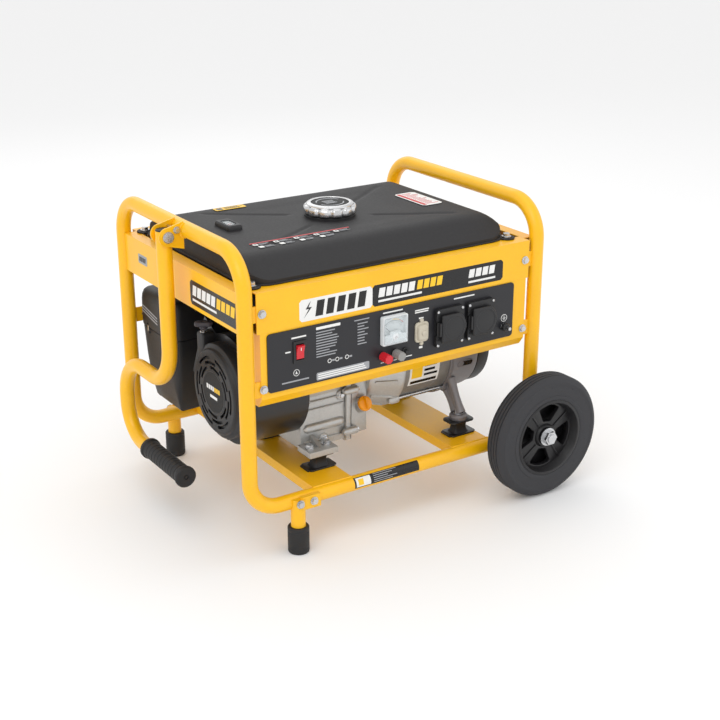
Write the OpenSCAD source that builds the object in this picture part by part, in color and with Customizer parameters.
// Portable generator: tube frame on two wheels and two legs, fold-down tow
// handle, fuel tank, control panel, and a single-cylinder engine that drives
// an alternator on one shaft. X runs along the machine, from the recoil
// starter end (-X) to the wheel end (+X). The control panel faces -Y.

/* [Frame] */
// Distance between the centres of the end hoops
frame_l = 560; // [500:1:700]
// Distance between the centres of the front and rear posts
frame_w = 424; // [390:1:520]
// Height of the bottom rails' centre
rail_z = 86; // [80:1:110]
// Height of the hoops' top bar centre
hoop_z = 502; // [490:1:620]
// Outer diameter of the frame tube
tube_d = 25; // [20:0.5:28]
// Wall of the frame tube
tube_wall = 1.8; // [1.2:0.1:3]
// Centreline radius of the bends at the top of each hoop
hoop_bend = 60; // [45:1:90]
// Centreline radius of the bends at the bottom corners
rail_bend = 52; // [40:1:60]

/* [Wheels and legs] */
// Outer radius of each tyre
wheel_r = 110; // [95:1:125]
// Width of each tyre
tyre_w = 44; // [35:1:50]
// Radius where the tyre sits on its rim
rim_r = 68; // [55:1:75]
// Radius of the axle stubs
axle_r = 8; // [6:0.5:10]
// Distance of the axle from the centre of the wheel-end posts
axle_inset = 18; // [10:1:30]
// Outer diameter of each leg tube
leg_d = 24; // [20:0.5:28]
// Distance of the legs from the starter-end posts
leg_inset = 80; // [70:1:110]

/* [Tow handle] */
// Distance of the handle tube from the hoop
handle_gap = 33; // [30:1:40]
// Outer diameter of the handle tube
handle_d = 25.4; // [20:0.1:28]
// Length of the rubber grip
grip_l = 140; // [110:1:160]
// Radius of the grip's body
grip_r = 16; // [15:0.5:18]
// Radius of the pivot bolt
pivot_r = 4; // [3:0.5:5]

/* [Panel and tank] */
// Height of the tank's flange above the ground
flange_z = 443; // [430:1:480]
// Height of the sheet rails that carry the tank
band_h = 65; // [50:1:75]
// Height of the control box below the front sheet rail
box_h = 120; // [110:1:130]
// Depth of the control box
box_d = 46; // [40:1:48]
// Thickness of the sheet metal
sheet = 1.5; // [1:0.1:2.5]
// Height of the tank's upper shell above its flange
tank_up = 35; // [30:1:60]
// Depth of the tank's lower shell below its flange
tank_down = 55; // [40:1:60]
// Radius of the fuel cap
cap_r = 45; // [38:1:50]

/* [Engine and alternator] */
// Height of the crankshaft
crank_z = 236; // [230:1:245]
// Distance of the crankshaft in front of the frame's middle
crank_y = 68; // [60:1:75]
// Cylinder bore radius
bore_r = 34; // [30:0.5:36]
// Piston stroke
stroke = 54; // [48:1:56]
// Angle of the cylinder above horizontal
cyl_tilt = 25; // [20:1:30]
// Outer radius of the blower shroud
shroud_r = 92; // [88:1:95]
// Outer radius of the recoil starter cover
recoil_r = 80; // [74:1:86]
// Outer radius of the stator
stator_r = 84; // [78:1:88]
// Length of the stator
stator_l = 95; // [80:1:105]
// Radius of the main shaft
shaft_r = 12.5; // [11:0.5:14]

/* [Hidden] */
$fn = 64;
run_gap = 0.05;   // radial clearance of a running fit
air_gap = 1;      // clearance between a rotor and its stator
free_gap = 0.6;   // clearance beside a moving piece
eps = 0.02;       // overshoot of a cut

tube_r = tube_d / 2;
half_l = frame_l / 2;
half_w = frame_w / 2;
wheel_x = half_l - axle_inset;
leg_x = -half_l + leg_inset;
leg_y = half_w + 10;
handle_x = -half_l - handle_gap;
handle_y = -18;
grip_flange_r = grip_r + 2.5;
// The origin is below the middle of the whole machine's box
origin_x = (wheel_x + wheel_r + handle_x - grip_flange_r) / 2;

panel_y = -half_w - 4;                // front face of the sheet metal
band_top = flange_z;
band_bot = flange_z - band_h;
box_bot = band_bot - box_h;
box_half = half_l - 23;
band_half = half_l - 18;
fascia_t = 2;
fascia_y = panel_y - fascia_t;
fascia_x0 = -box_half + 11;
fascia_x1 = box_half - 27;
fascia_z0 = box_bot + 23;
fascia_z1 = band_bot - 2;
panel_mid_z = (fascia_z0 + fascia_z1) / 2;

// Places of the instruments on the panel, as [x, z]
switch_at = [-190, panel_mid_z + 10];
meter_at = [-17, panel_mid_z + 13];
breaker_at = [39, panel_mid_z - 3];
socket_at = [[93, panel_mid_z - 3], [157, panel_mid_z - 3]];
plus_at = [-37, fascia_z0 + 18];
minus_at = [-12, fascia_z0 + 18];
earth_at = [211, fascia_z0 + 20];
switch_size = [18, 30];
meter_size = 48;
socket_size = [56, 66];
socket_body_r = 21;
lid_hinge_r = 2.2;

tank_x = -8;                            // middle of the tank, towards the starter
tank_half_l = 248;
tank_half_w = 192;
tank_wall = 1.5;
lower_half_l = 232;
lower_half_w = half_w - 37;
lug_at = [tank_half_l - 4, tank_half_w - 6];
cap_at = [0, -6];
neck_r = 24;
gauge_at = [-182, 14];
tank_top = flange_z + 3 + tank_up;

// Stations along the shaft
shroud_x0 = -236;
shroud_x1 = -138;
case_x0 = -136;
case_x1 = -40;
cover_x1 = -6;
stator_x0 = 55;
stator_x1 = stator_x0 + stator_l;
bell_x1 = stator_x1 + 65;
cap_x1 = bell_x1 + 30;
recoil_x0 = shroud_x0 - 27;
cyl_x = (case_x0 + case_x1) / 2;
case_r = 46;
case_half = 58;
barrel_y0 = 62;
barrel_y1 = 144;
head_y1 = 172;
valve_y1 = 195;
pin_y = 90;
rotor_r = stator_r - 25;
rear_shaft_r = 10;
bearing_r = 22;
mount_h = 26;
beam_top = rail_z + tube_r;
mount_top = beam_top + mount_h;
engine_mount_x = -115;
engine_mount_y = [-crank_y - 78, -crank_y + 78];
alt_mount_x = stator_x1 + 12;
alt_mount_y = [-crank_y - 96, -crank_y + 96];
beam_w = [74, 76];
guide_at = [-262, -14, crank_z + 90];
pull_dir = [-0.5, -0.8660254, 0];
pull_turn = atan2(pull_dir[1], pull_dir[0]);

steel_yellow = [0.95, 0.75, 0.1];
soft_black = [0.13, 0.13, 0.14];
cast_grey = [0.62, 0.62, 0.62];
zinc = [0.78, 0.79, 0.8];

// ---------------------------------------------------------------- helpers

module place() { translate([-origin_x, 0, 0]) children(); }

// A ring lying along +Z, from z = 0 to h
module pipe(r_out, r_in, h) {
    difference() {
        cylinder(r = r_out, h = h);
        translate([0, 0, -1]) cylinder(r = r_in, h = h + 2);
    }
}

// Turns a +Z child so that it points along +X, +Y or -Y
module to_x() { rotate([0, 90, 0]) children(); }
module to_y() { rotate([-90, 0, 0]) children(); }
module to_front() { rotate([90, 0, 0]) children(); }

// A child drawn with its own XY outline set upright, facing -Y, from y0 back by depth
module face_panel(y0, depth) {
    translate([0, y0 + depth, 0]) rotate([90, 0, 0]) linear_extrude(depth) children();
}

module rounded_rect(w, h, r) {
    union() {
        square([w - 2 * r, h], center = true);
        square([w, h - 2 * r], center = true);
        for (sx = [-1, 1], sy = [-1, 1])
            translate([sx * (w / 2 - r), sy * (h / 2 - r)]) circle(r = r);
    }
}

function unit(v) = v / norm(v);
function turn_sign(a, b) = (a[0] * b[1] - a[1] * b[0]) > 0 ? 1 : -1;
function turn_angle(a, b) = acos(max(-1, min(1, a * b)));
// Length of straight tube that a bend of radius r takes at point i
function bend_cut(p, r, i) =
    (i == 0 || i == len(p) - 1) ? 0
    : r[i] * tan(turn_angle(unit(p[i] - p[i - 1]), unit(p[i + 1] - p[i])) / 2);

module ring_2d(r_out, r_in) {
    difference() {
        circle(r = r_out);
        if (r_in > 0) circle(r = r_in);
    }
}

// A tube whose centreline runs through the plane points p with bend radii r
module bent_tube(p, r, r_out, r_in) {
    for (i = [0 : len(p) - 2]) {
        u = unit(p[i + 1] - p[i]);
        start = p[i] + u * bend_cut(p, r, i);
        stop = p[i + 1] - u * bend_cut(p, r, i + 1);
        straight = norm(stop - start);
        if (straight > 0.01) translate([start[0], start[1], 0])
            rotate([0, 0, atan2(u[1], u[0])]) rotate([0, 90, 0])
                linear_extrude(straight) ring_2d(r_out, r_in);
    }
    for (i = [1 : 1 : len(p) - 2]) {
        a = unit(p[i] - p[i - 1]);
        b = unit(p[i + 1] - p[i]);
        s = turn_sign(a, b);
        start = p[i] - a * bend_cut(p, r, i);
        centre = start + s * r[i] * [-a[1], a[0]];
        sweep = turn_angle(a, b);
        from = atan2(start[1] - centre[1], start[0] - centre[0]);
        translate([centre[0], centre[1], 0]) rotate([0, 0, s > 0 ? from : from - sweep])
            rotate_extrude(angle = sweep) translate([r[i], 0]) ring_2d(r_out, r_in);
    }
}

// Stands a tube drawn in XY up in the YZ plane at x, its Y as the height
module upright_yz(x) { translate([x, 0, 0]) rotate([90, 0, 90]) children(); }
module upright_xz(y) { translate([0, y, 0]) rotate([90, 0, 0]) children(); }

// ------------------------------------------------------------------ frame

module hoop_tube(x, r_in) {
    post_foot = rail_z + rail_bend;
    upright_yz(x) bent_tube(
        [[-half_w, post_foot], [-half_w, hoop_z], [half_w, hoop_z], [half_w, post_foot]],
        [0, hoop_bend, hoop_bend, 0], tube_r, r_in);
}

module rail_tube(y, r_in) {
    post_foot = rail_z + rail_bend;
    upright_xz(y) bent_tube(
        [[-half_l, post_foot], [-half_l, rail_z], [half_l, rail_z], [half_l, post_foot]],
        [0, rail_bend, rail_bend, 0], tube_r, r_in);
}

// Heights of the two sheet-metal bolts on each post
tab_z = [flange_z - 33, box_bot + 31];
tab_w = 32;
bolt_x = half_l - 27;

// Tabs welded to a front or rear post, behind the sheet metal
module post_tabs(sx) {
    for (y = [-1, 1], z = tab_z)
        translate([sx * (half_l - tab_w / 2 - 4), y * (half_w + 4 - sheet - 1.25), z])
            cube([tab_w, 2.5, 26], center = true);
}

module hoop(sx) {
    color(steel_yellow) difference() {
        union() {
            hoop_tube(sx * half_l, 0);
            post_tabs(sx);
        }
        hoop_tube_bore(sx * half_l);
        sheet_bolts(0.3);
    }
}

// The bore of a hoop's tube
module hoop_tube_bore(x) {
    post_foot = rail_z + rail_bend;
    upright_yz(x) bent_tube(
        [[-half_w, post_foot - 1], [-half_w, hoop_z], [half_w, hoop_z], [half_w, post_foot - 1]],
        [0, hoop_bend, hoop_bend, 0], tube_r - tube_wall, 0);
}

module left_hoop() { hoop(-1); }
module right_hoop() { hoop(1); }
module front_rail() { color(steel_yellow) rail_tube(-half_w, tube_r - tube_wall); }
module rear_rail() { color(steel_yellow) rail_tube(half_w, tube_r - tube_wall); }

// The outside of all four frame tubes, as one solid
module frame_outside() {
    for (x = [-half_l, half_l]) hoop_tube(x, 0);
    for (y = [-half_w, half_w]) rail_tube(y, 0);
}

// One crossmember: a folded channel from rail to rail
module beam(x, w) {
    depth = 16;
    difference() {
        translate([x - w / 2, -half_w, beam_top - depth]) cube([w, 2 * half_w, depth]);
        translate([x - w / 2 + 3, -half_w - 1, beam_top - depth - 1])
            cube([w - 6, 2 * half_w + 2, depth - 2]);
        for (y = [-half_w, half_w])
            translate([x - w, y, rail_z]) to_x() cylinder(r = tube_r, h = 2 * w);
    }
}

module crossmembers() {
    color(steel_yellow) difference() {
        union() {
            beam(engine_mount_x - 13, beam_w[0]);
            beam(alt_mount_x - 10, beam_w[1]);
        }
        mount_bolts(0.3);
    }
}

// Sheet channel that closes the frame's end below the tank
module end_plate(sx) {
    x0 = half_l + 4;
    color(steel_yellow) scale([sx, 1, 1]) difference() {
        union() {
            translate([x0 - sheet, -half_w, band_bot]) cube([sheet, 2 * half_w, band_h]);
            for (z = [band_bot, band_top - sheet])
                translate([x0 - 22, -half_w, z]) cube([22, 2 * half_w, sheet]);
        }
        frame_outside();
        for (y = [-half_w - 10, half_w - 12.4])
            translate([x0 - 30, y, band_bot - 1]) cube([40, 22.4, band_h + 2]);
    }
}

module left_end_plate() { mirror([1, 0, 0]) end_plate(1); }
module right_end_plate() { end_plate(1); }

// Sheet rail with a top and a bottom flange, along the front or the rear
module sheet_rail() {
    flange = 28;
    translate([-band_half, panel_y, band_bot]) cube([2 * band_half, sheet, band_h]);
    translate([-band_half, panel_y, band_top - sheet]) cube([2 * band_half, flange, sheet]);
    translate([-band_half, panel_y, band_bot]) cube([2 * band_half, 12, sheet]);
}

module panel_top_rail() {
    color(steel_yellow) difference() {
        sheet_rail();
        sheet_bolts(0.3);
        lug_bolts(0.3);
    }
}

module rear_tank_rail() {
    color(steel_yellow) difference() {
        mirror([0, 1, 0]) sheet_rail();
        sheet_bolts(0.3);
        lug_bolts(0.3);
    }
}

// --------------------------------------------------------- legs and wheels

foot_r = leg_d / 2 + 5.5;
foot_h = 46;
leg_bolts_at = [[leg_x - 2, rail_z + 2], [leg_x + 25, rail_z]];

module leg(sy) {
    difference() {
        union() {
            translate([leg_x, sy * leg_y, 6]) cylinder(d = leg_d, h = rail_z + 8 - 6);
            translate([leg_x + 2, sy * (half_w + tube_r + 1.5) - 4, rail_z - 12])
                cube([36, 8, 22]);
        }
        translate([leg_x, sy * leg_y, 5]) cylinder(d = leg_d - 4, h = rail_z - tube_r - 12);
        rail_tube(sy * half_w, 0);
        leg_bolts(0.3);
    }
}

module support_legs() { color(steel_yellow) for (sy = [-1, 1]) leg(sy); }

module rubber_feet() {
    color(soft_black) for (sy = [-1, 1]) translate([leg_x, sy * leg_y, 0]) difference() {
        cylinder(r = foot_r, h = foot_h);
        translate([0, 0, 6]) cylinder(d = leg_d, h = foot_h);
    }
}

tyre_out_y = half_w + 81;              // outer face of each tyre
tyre_in_y = tyre_out_y - tyre_w;
bracket_t = 6;
bracket_y = half_w + tube_r + bracket_t;
hub_in_y = tyre_in_y + 2;
hub_out_y = tyre_out_y - 8;
washer_t = 2;
nut_t = 9;
spacer_r = 12;

module wheel_bracket() {
    difference() {
        union() {
            translate([wheel_x - 62, bracket_y - bracket_t, rail_z - 20])
                cube([axle_inset + 58, bracket_t, wheel_r - rail_z + 38]);
            translate([wheel_x, bracket_y - 1, wheel_r]) to_y()
                cylinder(r = axle_r, h = hub_out_y + washer_t + nut_t + 4 - bracket_y);
            translate([wheel_x, bracket_y - 1, wheel_r]) to_y()
                cylinder(r = spacer_r, h = hub_in_y - free_gap + 1 - bracket_y);
        }
        bracket_bolts(0.3);
    }
}

module wheel_brackets() {
    color(zinc) {
        wheel_bracket();
        mirror([0, 1, 0]) wheel_bracket();
    }
}

// Tyre section, turned about the axle: a flat tread with three grooves
module tyre(sy) {
    shoulder = 9;
    color(soft_black) translate([wheel_x, sy > 0 ? tyre_in_y : -tyre_out_y, wheel_r]) to_y()
        difference() {
            rotate_extrude() difference() {
                union() {
                    translate([rim_r, 0]) square([wheel_r - shoulder - rim_r, tyre_w]);
                    translate([rim_r, shoulder]) square([wheel_r - rim_r, tyre_w - 2 * shoulder]);
                    for (y = [shoulder, tyre_w - shoulder])
                        translate([wheel_r - shoulder, y]) circle(r = shoulder);
                }
                for (i = [-1, 0, 1])
                    translate([wheel_r - 3, tyre_w / 2 + i * 9 - 1.25]) square([4, 2.5]);
            }
        }
}

module front_tyre() { tyre(-1); }
module rear_tyre() { tyre(1); }

boss_r = 19;
rim_wall = 5;

// Window between two spokes, as a plane sector with straight sides
module hub_window(r0, r1, half_angle) {
    polygon([
        [r0 * cos(half_angle), -r0 * sin(half_angle)],
        [r1 * cos(half_angle), -r1 * sin(half_angle)],
        [r1, 0],
        [r1 * cos(half_angle), r1 * sin(half_angle)],
        [r0 * cos(half_angle), r0 * sin(half_angle)]]);
}

// Wheel hub drawn with its outer side up, its inner side at z = 0
module hub_shape() {
    rim_l = tyre_w;
    web_z = tyre_w - 20;
    difference() {
        union() {
            pipe(rim_r, rim_r - rim_wall, rim_l);
            for (z = [[web_z, 6], [4, 3]])
                translate([0, 0, z[0]]) cylinder(r = rim_r - rim_wall + eps, h = z[1]);
            translate([0, 0, hub_in_y - tyre_in_y]) cylinder(r = boss_r, h = hub_out_y - hub_in_y);
        }
        translate([0, 0, -1]) cylinder(r = axle_r + run_gap, h = tyre_w + 2);
        for (a = [0 : 90 : 270]) rotate([0, 0, a - 9]) translate([0, 0, web_z - 1])
            linear_extrude(8) hub_window(boss_r + 5, rim_r - rim_wall - 6, 21);
    }
}

module front_wheel_hub() {
    color(soft_black) translate([wheel_x, -tyre_in_y, wheel_r]) to_front() hub_shape();
}
module rear_wheel_hub() {
    color(soft_black) translate([wheel_x, tyre_in_y, wheel_r]) to_y() hub_shape();
}

// -------------------------------------------------------------- tow handle

handle_r = handle_d / 2;
pivot_z = hoop_z - 8;
ear_t = 3;
ear_in = handle_r + free_gap;
stub_h = 8;
grip_z = 93;
handle_step = 183;
step_z = 237;
handle_path = [
    [handle_y, pivot_z + stub_h], [handle_y, step_z], [handle_y + handle_step, step_z],
    [handle_y + handle_step, grip_z], [-grip_l / 2 + 22, grip_z]];
handle_bends = [0, 70, 70, 60, 0];
stop_at = [-half_l - 18.2, hoop_z + 2];

module handle_bracket() {
    color(steel_yellow) difference() {
        for (sy = [-1, 1]) {
            y0 = handle_y + (sy > 0 ? ear_in : -ear_in - ear_t);
            translate([0, y0 + ear_t, 0]) rotate([90, 0, 0]) linear_extrude(ear_t) union() {
                translate([handle_x, pivot_z]) circle(r = 15);
                polygon([
                    [handle_x, pivot_z - 15], [-half_l - 6, pivot_z - 22],
                    [-half_l - 6, hoop_z + 14], [handle_x, pivot_z + 15]]);
            }
        }
        hoop_tube(-half_l, 0);
        handle_bolts(run_gap);
    }
}

module tow_handle() {
    color(steel_yellow) difference() {
        upright_yz(handle_x) bent_tube(handle_path, handle_bends, handle_r, handle_r - tube_wall);
        translate([handle_x, handle_y - 30, pivot_z]) to_y() cylinder(r = pivot_r + run_gap, h = 60);
    }
}

module handle_grip() {
    y_end = -grip_l / 2 + 14;
    color(soft_black) translate([handle_x, y_end, grip_z]) to_y() difference() {
        union() {
            cylinder(r = grip_r, h = grip_l);
            cylinder(r = grip_flange_r, h = 8);
            translate([0, 0, grip_l - 8]) cylinder(r = grip_flange_r, h = 8);
        }
        translate([0, 0, 8]) cylinder(r = handle_r, h = grip_l);
        translate([0, 0, -1]) cylinder(r = 2.5, h = 10);
    }
}

// ------------------------------------------------------------ control panel

lip_h = 14;
lip_in = 10;
box_back = panel_y + box_d;

module control_box() {
    wall = sheet;
    color(steel_yellow) difference() {
        translate([-box_half, 0, 0]) rotate([90, 0, 90]) linear_extrude(2 * box_half) polygon([
            [panel_y, band_bot], [panel_y, box_bot + lip_h], [panel_y + lip_in, box_bot],
            [box_back, box_bot], [box_back, band_bot]]);
        translate([-box_half + wall, 0, 0]) rotate([90, 0, 90])
            linear_extrude(2 * (box_half - wall)) polygon([
                [panel_y + wall, band_bot - wall], [panel_y + wall, box_bot + lip_h + 0.6],
                [panel_y + lip_in + 0.6, box_bot + wall], [box_back + 1, box_bot + wall],
                [box_back + 1, band_bot - wall]]);
        translate([fascia_x0 + 9, panel_y - 1, fascia_z0 + 6])
            cube([fascia_x1 - fascia_x0 - 18, 4, fascia_z1 - fascia_z0 - 12]);
        sheet_bolts(0.3);
        hoop_tabs_room();
    }
}

// Room in the box's side walls for the tabs that are welded to the posts
module hoop_tabs_room() {
    for (sx = [-1, 1]) translate([sx * (half_l - tab_w / 2 - 4), -half_w - 4 + sheet + 1.25, tab_z[1]])
        cube([tab_w + 0.6, 2.5 + 0.01, 26.6], center = true);
}

module control_fascia() {
    color(soft_black) face_panel(fascia_y, fascia_t) difference() {
        translate([(fascia_x0 + fascia_x1) / 2, (fascia_z0 + fascia_z1) / 2])
            rounded_rect(fascia_x1 - fascia_x0, fascia_z1 - fascia_z0, 6);
        translate(switch_at) square(switch_size, center = true);
        translate(meter_at) square(meter_size - 8, center = true);
        translate(breaker_at) circle(r = 11);
        for (s = socket_at) translate(s) circle(r = socket_body_r);
        for (p = [plus_at, minus_at, earth_at]) translate(p) circle(r = 3.3);
    }
}

meter_front = fascia_y - 9;

module voltmeter_case() {
    inner = meter_size - 6;
    color([0.85, 0.86, 0.86]) difference() {
        union() {
            translate([meter_at[0] - meter_size / 2, meter_front, meter_at[1] - meter_size / 2])
                cube([meter_size, fascia_y - meter_front, meter_size]);
            translate([meter_at[0] - inner / 2 + 1, fascia_y, meter_at[1] - inner / 2 + 1])
                cube([inner - 2, 24, inner - 2]);
        }
        translate([meter_at[0] - inner / 2, meter_front + 1.5, meter_at[1] - inner / 2 + 4])
            cube([inner, fascia_y - meter_front - 2.5, inner - 6]);
    }
}

needle_pivot = [meter_at[0], meter_at[1] - 11];

module voltmeter_needle() {
    color([0.1, 0.1, 0.1]) translate([needle_pivot[0], meter_front + 4, needle_pivot[1]]) {
        to_y() cylinder(r = 2.5, h = 1.5);
        rotate([0, -45, 0]) translate([-0.4, 0, 0]) cube([0.8, 1, 22]);
    }
}

button_r = 5;

module circuit_breaker() {
    color([0.72, 0.68, 0.6]) difference() {
        union() {
            translate([breaker_at[0], fascia_y, breaker_at[1]]) to_y() cylinder(r = 11, h = 30);
            face_panel(fascia_y - 3, 3) translate(breaker_at) rounded_rect(26, 34, 6);
            face_panel(fascia_y - 8, 5) translate(breaker_at) rounded_rect(20, 26, 5);
            for (s = [-1, 1]) translate([breaker_at[0], fascia_y, breaker_at[1] + s * 19.5])
                to_front() cylinder(r = 3.5, h = 3);
        }
        translate([breaker_at[0], fascia_y - 9, breaker_at[1]]) to_y()
            cylinder(r = button_r + 0.1, h = 14);
    }
}

module breaker_button() {
    color(soft_black) translate([breaker_at[0], fascia_y - 11, breaker_at[1]]) to_y()
        cylinder(r = button_r, h = 12);
}

lid_front = fascia_y - 15;
socket_flange = 7;

module socket_outlets() {
    color(soft_black) for (s = socket_at) difference() {
        union() {
            face_panel(fascia_y - socket_flange, socket_flange) translate(s)
                rounded_rect(socket_size[0], socket_size[1], 5);
            translate([s[0], fascia_y, s[1]]) to_y() cylinder(r = socket_body_r, h = 30);
        }
        translate([s[0], fascia_y - socket_flange - 1, s[1]]) to_y() cylinder(r = 18.5, h = 22);
        for (d = [-9.5, 9.5]) translate([s[0] + d, fascia_y, s[1]]) to_y()
            cylinder(r = 2.4, h = 32);
        // hinge knuckle notch
        translate([s[0] - socket_size[0] / 2 - 1, fascia_y - socket_flange - 1, s[1] - 12])
            cube([7, 5.4, 24]);
        translate([s[0] - socket_size[0] / 2 + 3, fascia_y - socket_flange + 0.4, s[1] - 20])
            cylinder(r = 1.2, h = 40);
    }
}

lid_hinge = [-socket_size[0] / 2 + 3, fascia_y - socket_flange + 0.4];

module socket_lid(i) {
    s = socket_at[i];
    color(soft_black) difference() {
        union() {
            face_panel(lid_front, lid_plate_t) translate([s[0] + 3, s[1]]) rounded_rect(
                socket_size[0] - 6, socket_size[1] - 8, 6);
            translate([s[0] + 2, lid_front + lid_plate_t, s[1]]) to_y()
                pipe(23, 20.5, fascia_y - socket_flange - 0.4 - lid_front - lid_plate_t);
            translate([s[0] + lid_hinge[0], lid_hinge[1], s[1] - 11.5])
                cylinder(r = lid_hinge_r, h = 23);
            translate([s[0] + lid_hinge[0] - 1, lid_front + 1, s[1] - 11.5])
                cube([3.8, lid_hinge[1] - lid_front - 1, 23]);
        }
    }
}

lid_plate_t = 4;

module left_socket_lid() { socket_lid(0); }
module right_socket_lid() { socket_lid(1); }

module switch_body() {
    color([0.06, 0.06, 0.07]) difference() {
        union() {
            face_panel(fascia_y - 2, 2) translate(switch_at)
                square([switch_size[0] + 5, switch_size[1] + 5], center = true);
            face_panel(fascia_y, 16) translate(switch_at)
                square([switch_size[0] - 0.2, switch_size[1] - 0.2], center = true);
        }
        face_panel(fascia_y - 4, 14) translate(switch_at)
            square([switch_size[0] - 4, switch_size[1] - 4], center = true);
    }
}

rocker_w = switch_size[0] - 5;
rocker_half = switch_size[1] / 2 - 3;

module rocker_switch() {
    color([0.75, 0.08, 0.1]) translate([switch_at[0] - rocker_w / 2, fascia_y, switch_at[1]]) union() {
        rotate([90, 0, 90]) linear_extrude(rocker_w) polygon([
            [-6.5, rocker_half - 1.6], [-3, 0], [-2.4, -rocker_half + 1],
            [1.5, -rocker_half + 2.5], [3.2, 0], [-0.5, rocker_half - 1]]);
        // pivot pin
        translate([-0.4, 0, 0]) to_x() cylinder(r = 1.2, h = rocker_w + 0.8);
    }
}

module terminal_studs() {
    for (p = [plus_at, minus_at, earth_at]) translate([p[0], 0, p[1]]) {
        translate([0, fascia_y - 1.5, 0]) to_y() cylinder(r = 6, h = 1.5);
        translate([0, fascia_y - 17, 0]) to_y() cylinder(r = 3, h = 30);
    }
}

module terminal_cap(p, c) {
    color(c) translate([p[0], fascia_y - 20, p[1]]) to_y() difference() {
        cylinder(r = 7.5, h = 18);
        translate([0, 0, 2]) cylinder(r = 3 + run_gap, h = 20);
        for (a = [0 : 45 : 315]) rotate([0, 0, a]) translate([8.4, 0, -1]) cylinder(r = 1.8, h = 12);
    }
}

module positive_terminal_cap() { terminal_cap(plus_at, [0.8, 0.05, 0.06]); }
module negative_terminal_cap() { terminal_cap(minus_at, [0.35, 0.34, 0.33]); }

// --------------------------------------------------------------------- tank

// The tank's upper shell, shrunk by s on every wall
module tank_upper(s) {
    crease = 56;
    corner = 42;
    top = flange_z + 3 + tank_up - s;
    base = flange_z + (s > 0 ? 3 - eps : 0);
    translate([tank_x, 0, 0]) intersection() {
        translate([0, 0, base]) linear_extrude(tank_up + 10)
            rounded_rect(2 * (tank_half_l - s), 2 * (tank_half_w - s), corner - s);
        translate([-tank_half_l - 1, 0, 0]) rotate([90, 0, 90])
            linear_extrude(2 * tank_half_l + 2) polygon([
                [-tank_half_w + s, base], [tank_half_w - s, base],
                [tank_half_w - s, flange_z + 6], [tank_half_w - crease - s, top],
                [-tank_half_w + crease + s, top], [-tank_half_w + s, flange_z + 6]]);
        translate([0, tank_half_w + 1, 0]) rotate([90, 0, 0])
            linear_extrude(2 * tank_half_w + 2) union() {
                translate([-tank_half_l + s, base])
                    square([2 * (tank_half_l - s), top - 20 - base]);
                translate([-tank_half_l + 20 + s, base])
                    square([2 * (tank_half_l - s - 20), top - base]);
                for (sx = [-1, 1]) translate([sx * (tank_half_l - s - 20), top - 20])
                    circle(r = 20);
            }
    }
}

module tank_lower(s) {
    translate([tank_x, 0, flange_z - tank_down + s]) linear_extrude(tank_down + (s > 0 ? 4 : 0))
        rounded_rect(2 * (lower_half_l - s), 2 * (lower_half_w - s), 40 - s);
}

module tank_flange() {
    translate([tank_x, 0, flange_z]) linear_extrude(3) union() {
        rounded_rect(2 * tank_half_l + 6, 2 * tank_half_w + 6, 40);
        for (sx = [-1, 1], sy = [-1, 1]) translate([sx * lug_at[0], sy * lug_at[1]]) circle(r = 14);
    }
}

module fuel_tank() {
    color(soft_black) difference() {
        union() {
            tank_upper(0);
            tank_flange();
            tank_lower(0);
            translate([cap_at[0], cap_at[1], tank_top - 12]) cylinder(r = neck_r + 2, h = 18);
        }
        tank_upper(tank_wall);
        tank_lower(tank_wall);
        translate([cap_at[0], cap_at[1], tank_top - 30]) cylinder(r = neck_r, h = 60);
        lug_bolts(0.3);
        translate([tap_at[0], tap_at[1], flange_z - tank_down - 1]) cylinder(r = 5, h = 4);
        translate([gauge_at[0], gauge_at[1], tank_top - 5]) cylinder(r = 12, h = 20);
    }
}

lobe_count = 12;

module fuel_cap() {
    h = 20;
    color(zinc) translate([cap_at[0], cap_at[1], tank_top + 2]) difference() {
        cylinder(r = cap_r, h = h);
        translate([0, 0, -1]) cylinder(r = neck_r + 2.6, h = h - 6);
        for (i = [0 : lobe_count - 1]) rotate([0, 0, i * 360 / lobe_count])
            translate([cap_r + 3.6, 0, -1]) cylinder(r = 6, h = h + 2);
    }
}

gauge_size = [28, 50];

module fuel_gauge() {
    color(soft_black) translate([gauge_at[0], gauge_at[1], tank_top]) difference() {
        union() {
            linear_extrude(7) rounded_rect(gauge_size[0], gauge_size[1], 4);
            translate([0, 0, -28]) cylinder(r = 11.8, h = 28 + eps);
        }
        translate([0, 0, 5]) linear_extrude(4) rounded_rect(gauge_size[0] - 14, gauge_size[1] - 22, 5);
    }
}

tap_at = [-152, -105];
tap_z = flange_z - tank_down - 22;

module fuel_tap() {
    color(cast_grey) translate([tap_at[0], tap_at[1], tap_z]) difference() {
        union() {
            cylinder(r = 8, h = 22);
            translate([0, 0, 4]) rotate([0, -90, 0]) cylinder(r = 9, h = 12);
            rotate([90, 0, 0]) translate([0, 4, -20]) cylinder(r = 4, h = 20);
        }
        translate([-13, 0, 4]) rotate([0, 90, 0]) cylinder(r = 5 + run_gap, h = 9);
        translate([0, 9, 4]) to_y() cylinder(r = 2.5, h = 20);
    }
}

module fuel_tap_lever() {
    color([0.75, 0.1, 0.1]) translate([tap_at[0], tap_at[1], tap_z + 4]) union() {
        translate([-16, 0, 0]) to_x() cylinder(r = 5, h = 11.5);
        translate([-20, 0, 0]) to_x() cylinder(r = 8, h = 7);
        translate([-20, -4, -26]) cube([4, 8, 26]);
    }
}

// Hose from the tap to the carburettor, held at both ends
hose_r = 4;

module fuel_hose() {
    y0 = tap_at[1] + 20;
    y1 = carb_y - 6;
    color(soft_black) upright_yz(tap_at[0]) bent_tube(
        [[y0, tap_z + 4], [y1, tap_z + 4], [y1, carb_top]], [0, 20, 0], hose_r, 2.5);
}

// ------------------------------------------------------------------- engine

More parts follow.
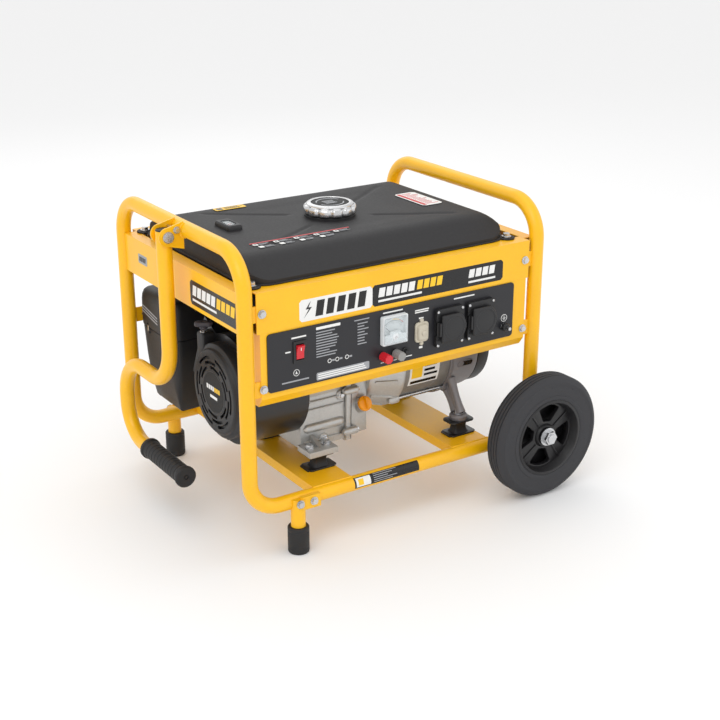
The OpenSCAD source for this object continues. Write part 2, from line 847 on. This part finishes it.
// Places a child with the crankshaft's axis along X through its origin
module at_crank(x) { translate([x, -crank_y, crank_z]) children(); }
// As at_crank, with +Y turned to point along the cylinder
module at_cylinder() { at_crank(cyl_x) rotate([cyl_tilt, 0, 0]) children(); }

module crankcase() {
    l = case_x1 - case_x0;
    foot_z = mount_top - crank_z;
    color(cast_grey) difference() {
        union() {
            at_crank(case_x0) upright_yz(0) linear_extrude(l) union() {
                circle(r = case_half + 4);
                translate([-case_half, foot_z]) square([2 * case_half, -foot_z]);
                rotate(cyl_tilt) translate([0, -48]) square([barrel_y0, 96]);
            }
            for (y = engine_mount_y) translate([engine_mount_x - 27, y - 20, mount_top])
                cube([54, 40, 10]);
        }
        at_crank(case_x0 + 8) to_x() cylinder(r = case_r, h = l - 16);
        at_crank(case_x0 - 1) to_x() cylinder(r = bearing_r, h = l + 2);
        at_cylinder() to_y() cylinder(r = bore_r, h = barrel_y0 + 1);
        mount_bolts(0.3);
    }
    // main bearings' rings, pressed into the end walls
    color(zinc) for (x = [case_x0, case_x1 - 8]) at_crank(x) to_x()
        pipe(bearing_r, shaft_r + run_gap, 8);
}

boss_at = [-16, -crank_y - 50, crank_z - 62];
boss_tilt = 28;

module at_filler() { translate(boss_at) rotate([-boss_tilt, 0, 0]) rotate([90, 0, 0]) children(); }

module crankcase_cover() {
    l = cover_x1 - case_x1;
    foot_z = mount_top + 6 - crank_z;
    color(cast_grey) difference() {
        union() {
            at_crank(case_x1) translate([0, -case_half, foot_z]) cube([l, 2 * case_half, -foot_z]);
            at_crank(case_x1) to_x() cylinder(r = case_half + 2, h = l);
            at_crank(case_x1) to_x() cylinder(r = case_half + 8, h = 8);
            at_filler() cylinder(r = 13, h = 18);
        }
        at_crank(case_x1 - 1) to_x() cylinder(r = shaft_r + 2, h = l + 2);
        at_crank(case_x1 - 1) to_x() cylinder(r = case_r, h = l - 7);
        at_filler() translate([0, 0, -14]) cylinder(r = 8, h = 40);
    }
}

module oil_dipstick() {
    color([1, 0.55, 0]) at_filler() union() {
        translate([0, 0, 18.4]) cylinder(r = 13, h = 5);
        translate([-2.5, -11, 23]) cube([5, 22, 9]);
        translate([0, 0, -6]) cylinder(r = 7.4, h = 25);
    }
}

fin_pitch = 8;
fin_half = 42;

module cylinder_barrel() {
    color(cast_grey) at_cylinder() difference() {
        union() {
            translate([0, barrel_y0, 0]) to_y() cylinder(r = bore_r + 6, h = barrel_y1 - barrel_y0);
            for (y = [barrel_y0 : fin_pitch : barrel_y1 - 4])
                translate([-fin_half, y, -fin_half]) cube([2 * fin_half, 3, 2 * fin_half]);
        }
        to_y() cylinder(r = bore_r, h = barrel_y1 + 1);
    }
}

module cylinder_head() {
    color(cast_grey) at_cylinder() union() {
        translate([-fin_half, barrel_y1, -fin_half]) cube([2 * fin_half, 6, 2 * fin_half]);
        translate([-fin_half + 8, barrel_y1, -fin_half + 8])
            cube([2 * fin_half - 16, head_y1 - barrel_y1, 2 * fin_half - 16]);
        for (y = [barrel_y1 + 10 : 7 : head_y1 - 4])
            translate([-fin_half, y, -fin_half]) cube([2 * fin_half, 3, 2 * fin_half]);
        // spark plug and its cap
        translate([-10, barrel_y1 + 14, -fin_half - 26]) cylinder(r = 9, h = 27);
    }
}

module valve_cover() {
    color(cast_grey) at_cylinder() translate([0, valve_y1, 0]) rotate([90, 0, 0])
        linear_extrude(valve_y1 - head_y1) rounded_rect(70, 66, 10);
}

piston_h = 44;

module piston() {
    color([0.8, 0.8, 0.8]) at_cylinder() translate([0, pin_y - 20, 0]) to_y() difference() {
        cylinder(r = bore_r - run_gap, h = piston_h);
        translate([0, 0, -1]) cylinder(r = bore_r - 5, h = piston_h - 8);
    }
}

web_r = 34;
web_t = 14;
pin_half = 16;

module crankshaft() {
    color(zinc) union() {
        at_crank(shroud_x0 + 8) to_x() cylinder(r = shaft_r, h = cyl_x - pin_half - shroud_x0 - 8);
        at_crank(cyl_x + pin_half) to_x() cylinder(r = shaft_r, h = stator_x0 - cyl_x - pin_half);
        for (x = [cyl_x - pin_half - web_t, cyl_x + pin_half])
            at_crank(x) to_x() cylinder(r = web_r, h = web_t);
        at_crank(cyl_x - pin_half) translate([0, 0, -stroke / 2]) to_x()
            cylinder(r = 9, h = 2 * pin_half);
        // rotor and its shaft
        at_crank(stator_x0) to_x() cylinder(r = rear_shaft_r, h = bell_x1 - 2 - stator_x0);
        at_crank(stator_x0 + 8) to_x() cylinder(r = rotor_r - air_gap, h = stator_l - 16);
    }
}

fly_x0 = -208;
fly_x1 = -166;
fly_r = 76;

module flywheel() {
    color([0.5, 0.5, 0.52]) difference() {
        union() {
            at_crank(fly_x0 + 14) to_x() cylinder(r = fly_r - 4, h = fly_x1 - fly_x0 - 14);
            for (i = [0 : 15]) at_crank(fly_x0) rotate([i * 22.5, 0, 0])
                translate([0, 34, -1.5]) cube([16, fly_r - 36, 3]);
            at_crank(fly_x0) to_x() cylinder(r = 30, h = 16);
        }
        at_crank(fly_x0 - 1) to_x() cylinder(r = shaft_r, h = fly_x1 - fly_x0 + 2);
    }
}

shroud_reach = 112;
shroud_half = 62;

// Outline of the blower shroud, grown or shrunk by s, as a solid along X
module shroud_solid(x0, x1, s) {
    at_crank(x0) upright_yz(0) linear_extrude(x1 - x0) union() {
        circle(r = shroud_r + s);
        rotate(cyl_tilt) translate([0, -shroud_half - s])
            square([shroud_reach + s, 2 * (shroud_half + s)]);
    }
}

module blower_shroud() {
    color(soft_black) difference() {
        shroud_solid(shroud_x0, shroud_x1, 0);
        shroud_solid(shroud_x0 + 2.5, shroud_x1 + 1, -2.5);
        at_crank(shroud_x0 - 1) to_x() cylinder(r = 68, h = 6);
    }
}

module recoil_cover() {
    color(soft_black) difference() {
        union() {
            at_crank(recoil_x0) to_x() cylinder(r = recoil_r - 8, h = 8);
            at_crank(recoil_x0 + 7) to_x() cylinder(r = recoil_r, h = shroud_x0 - recoil_x0 - 7);
            // rope guide beside the cover
            translate([recoil_x0 + 6, guide_at[1] - 12, crank_z + 40])
                cube([shroud_x0 - recoil_x0 - 6, 24, guide_at[2] - crank_z - 44]);
        }
        at_crank(recoil_x0 + 3) to_x() cylinder(r = recoil_r - 12, h = 40);
        at_crank(recoil_x0 + 10) to_x() cylinder(r = recoil_r - 4, h = 40);
        // vent slots in three rings
        for (ring = [0 : 2], i = [0 : 5]) at_crank(recoil_x0 - 1)
            rotate([i * 60 + ring * 20, 0, 0]) to_x()
                rotate_extrude(angle = 34) translate([34 + ring * 11, 0]) square([5, 6]);
        // rope hole through the guide
        translate([recoil_x0 + 14, guide_at[1], crank_z + 30]) cylinder(r = 3, h = 80);
    }
}

module recoil_reel() {
    color([0.2, 0.2, 0.2]) at_crank(recoil_x0 + 5) to_x() difference() {
        union() {
            cylinder(r = 60, h = 2);
            cylinder(r = 48, h = 12);
            translate([0, 0, 10]) cylinder(r = 60, h = 2);
        }
        translate([0, 0, -1]) cylinder(r = 6, h = 20);
    }
}

rope_r = 2;
grip_t = 12;

module starter_grip() {
    color([0.35, 0.35, 0.36]) translate([recoil_x0 + 14, guide_at[1], guide_at[2]])
        rotate([0, 0, pull_turn + 90]) difference() {
            union() {
                translate([-15, -7, 4.5]) cube([30, 14, 9]);
                cylinder(r = 7, h = 6);
            }
            translate([0, 0, -1]) cylinder(r = rope_r + 0.4, h = 20);
        }
}

module starter_rope() {
    color([0.85, 0.85, 0.85]) translate([recoil_x0 + 14, guide_at[1], guide_at[2] - 30])
        cylinder(r = rope_r, h = 36);
}

carb_x = tap_at[0];
carb_y = 92;
carb_top = crank_z + 74;

module carburettor() {
    color(cast_grey) union() {
        translate([-172, carb_y - 18, carb_top - 26]) cube([40, 36, 26]);
        translate([carb_x, carb_y - 6, crank_z + 24]) cylinder(r = 15, h = 26);
    }
}

air_x0 = -262;
air_x1 = -172;
air_y0 = 79;
air_y1 = 210;
air_z0 = 138;
air_z1 = 342;

module air_cleaner() {
    color(soft_black) difference() {
        union() {
            translate([(air_x0 + air_x1) / 2, (air_y0 + air_y1) / 2, air_z0 + 30])
                linear_extrude(air_z1 - air_z0 - 30)
                rounded_rect(air_x1 - air_x0, air_y1 - air_y0, 14);
            translate([(air_x0 + air_x1) / 2 + 4, (air_y0 + air_y1) / 2 - 8, air_z0])
                linear_extrude(31) rounded_rect(air_x1 - air_x0 - 12, air_y1 - air_y0 - 26, 12);
            translate([(air_x0 + air_x1) / 2, air_y1 - 30, air_z1 - 1]) cylinder(r = 12, h = 22);
        }
        translate([(air_x0 + air_x1) / 2, (air_y0 + air_y1) / 2, air_z0 + 34])
            linear_extrude(air_z1 - air_z0 - 38)
            rounded_rect(air_x1 - air_x0 - 6, air_y1 - air_y0 - 6, 11);
    }
}

choke_at = [-212, 330];

module choke_lever() {
    color(soft_black) translate([choke_at[0], air_y0 - 0.4, choke_at[1]]) union() {
        to_front() cylinder(r = 8, h = 7);
        translate([-4, -5.5, 0]) cube([8, 3, 30]);
        translate([-4, -14, 26]) cube([8, 11, 4]);
    }
}

muffler_x = [-30, 112];

module muffler() {
    color([0.55, 0.55, 0.55]) union() {
        translate([muffler_x[0], 128, 332]) to_x() linear_extrude(muffler_x[1] - muffler_x[0])
            rounded_rect(78, 92, 30);
        translate([-46, 92, 316]) to_x() cylinder(r = 12, h = 20);
        translate([muffler_x[1] - 24, 160, 320]) to_y() cylinder(r = 9, h = 26);
    }
}

// --------------------------------------------------------------- alternator

module alternator_housing() {
    color(cast_grey) union() {
        // drive-end housing
        difference() {
            at_crank(cover_x1) to_x() cylinder(r1 = stator_r - 14, r2 = stator_r + 4, h = stator_x0 - cover_x1);
            at_crank(cover_x1 + 8) to_x() cylinder(r = rotor_r + 4, h = 80);
            at_crank(cover_x1 - 1) to_x() cylinder(r = shaft_r + 2, h = 30);
            at_filler_room();
        }
    }
    color([0.42, 0.41, 0.42]) difference() {
        union() {
            at_crank(stator_x1) to_x() cylinder(r1 = stator_r + 4, r2 = stator_r - 2, h = bell_x1 - stator_x1);
            for (y = alt_mount_y) alternator_foot(y);
        }
        at_crank(stator_x1 - 1) to_x() cylinder(r = rotor_r + 8, h = bell_x1 - stator_x1 - 9);
        at_crank(stator_x1) to_x() cylinder(r = rear_shaft_r + run_gap, h = 100);
        mount_bolts(0.3);
    }
    color(soft_black) at_crank(bell_x1) to_x() difference() {
        union() {
            cylinder(r = stator_r - 3, h = cap_x1 - bell_x1 - 8);
            cylinder(r = stator_r - 9, h = cap_x1 - bell_x1);
        }
        translate([0, 0, -1]) cylinder(r = stator_r - 14, h = cap_x1 - bell_x1 - 4);
    }
}

// Keeps the drive-end housing clear of the oil filler
module at_filler_room() {
    at_filler() translate([0, 0, -2]) cylinder(r = 15, h = 50);
}

module alternator_foot(y) {
    s = y < -crank_y ? -1 : 1;
    inner = -crank_y + s * 52;
    x0 = alt_mount_x - 12;
    translate([x0, 0, 0]) rotate([90, 0, 90]) linear_extrude(24) polygon([
        [inner, crank_z - 62], [inner + s * 22, crank_z - 40], [y + s * 14, mount_top + 16],
        [y + s * 14, mount_top], [y - s * 14, mount_top]]);
    translate([alt_mount_x, y, mount_top]) cylinder(r = 16, h = 10);
}

module stator() {
    color([0.5, 0.5, 0.52]) at_crank(stator_x0) to_x() pipe(stator_r, rotor_r, stator_l);
}

// ---------------------------------------------------------------- fasteners

// A bolt whose head sits on the plane z = 0 and whose shank runs to -len.
// With grow above 0 it is the room for that bolt: its hole, and a seat for its head.
module bolt(r, len, grow) {
    translate([0, 0, -len - (grow > 0 ? 1 : 0)]) cylinder(r = r + grow, h = len + (grow > 0 ? 2 : 0));
    if (grow > 0) cylinder(r = 2.3 * r + 0.6, h = 4 * r);
    if (grow == 0) {
        cylinder(r = 2.3 * r, h = 0.5 * r);
        translate([0, 0, 0.5 * r]) cylinder(r = 1.75 * r, h = 1.3 * r, $fn = 6);
    }
}

module sheet_bolts(grow) {
    for (sx = [-1, 1], sy = [-1, 1], z = tab_z)
        translate([sx * bolt_x, sy * (half_w + 4 + (sy > 0 && z == tab_z[1] ? -sheet : 0)), z])
            rotate([sy > 0 ? -90 : 90, 0, 0]) bolt(3, 4, grow);
}

module leg_bolts(grow) {
    for (sy = [-1, 1], p = leg_bolts_at) translate([p[0], sy * (leg_y + leg_d / 2 - 1), p[1]])
        rotate([sy > 0 ? -90 : 90, 0, 0]) translate([0, 0, p[0] > leg_x ? -3 : 0]) bolt(3, 5, grow);
}

module bracket_bolts(grow) {
    for (x = [-50, -24]) translate([wheel_x + x, bracket_y, rail_z])
        to_y() bolt(4, 5, grow);
}

module lug_bolts(grow) {
    for (sx = [-1, 1], sy = [-1, 1])
        translate([tank_x + sx * lug_at[0], sy * lug_at[1], flange_z + 3]) bolt(3.5, 12, grow);
}

module handle_bolts(grow) {
    y0 = handle_y - ear_in - ear_t;
    span = 2 * (ear_in + ear_t);
    translate([handle_x, y0, pivot_z]) to_front() bolt(pivot_r, span, grow);
    translate([stop_at[0], y0, stop_at[1]]) to_front() bolt(2.5, span, grow);
}

module mount_bolts(grow) {
    for (y = engine_mount_y, x = [-16, 16]) translate([engine_mount_x + x, y, mount_top + 10])
        bolt(3.5, 12, grow);
    for (y = alt_mount_y) translate([alt_mount_x, y, mount_top + 10]) bolt(4, 12, grow);
}

module axle_nut() {
    translate([wheel_x, hub_out_y + 0.5, wheel_r]) to_y() {
        pipe(16, axle_r, washer_t);
        translate([0, 0, washer_t]) difference() {
            cylinder(r = 12.5, h = nut_t, $fn = 6);
            translate([0, 0, -1]) cylinder(r = axle_r, h = nut_t + 2);
        }
    }
}

// Rubber mount with a steel plate above and below
module rubber_mount(x, y) {
    translate([x - 25, y - 17, beam_top]) cube([50, 34, 3]);
    translate([x - 15, y - 12, beam_top + 3]) cube([30, 24, mount_h - 6]);
    translate([x - 25, y - 17, mount_top - 3]) cube([50, 34, 3]);
}

module rubber_mounts() {
    color(soft_black) difference() {
        union() {
            for (y = engine_mount_y) rubber_mount(engine_mount_x, y);
            for (y = alt_mount_y) rubber_mount(alt_mount_x, y);
        }
        mount_bolts(0.3);
    }
}

module fasteners() {
    color(zinc) {
        terminal_studs();
        sheet_bolts(0);
        leg_bolts(0);
        bracket_bolts(0);
        mirror([0, 1, 0]) bracket_bolts(0);
        lug_bolts(0);
        handle_bolts(0);
        mount_bolts(0);
        axle_nut();
        mirror([0, 1, 0]) axle_nut();
    }
}

place() left_hoop();
place() right_hoop();
place() front_rail();
place() rear_rail();
place() crossmembers();
place() left_end_plate();
place() right_end_plate();
place() rear_tank_rail();
place() support_legs();
place() rubber_feet();
place() wheel_brackets();
place() front_tyre();
place() front_wheel_hub();
place() rear_tyre();
place() rear_wheel_hub();
place() handle_bracket();
place() tow_handle();
place() handle_grip();
place() panel_top_rail();
place() control_box();
place() control_fascia();
place() voltmeter_case();
place() voltmeter_needle();
place() circuit_breaker();
place() breaker_button();
place() socket_outlets();
place() left_socket_lid();
place() right_socket_lid();
place() switch_body();
place() rocker_switch();
place() positive_terminal_cap();
place() negative_terminal_cap();
place() fuel_tank();
place() fuel_cap();
place() fuel_gauge();
place() fuel_tap();
place() fuel_tap_lever();
place() fuel_hose();
place() crankcase();
place() crankcase_cover();
place() cylinder_barrel();
place() cylinder_head();
place() valve_cover();
place() muffler();
place() air_cleaner();
place() carburettor();
place() choke_lever();
place() blower_shroud();
place() recoil_cover();
place() recoil_reel();
place() starter_grip();
place() starter_rope();
place() flywheel();
place() crankshaft();
place() piston();
place() oil_dipstick();
place() alternator_housing();
place() stator();
place() rubber_mounts();
place() fasteners();
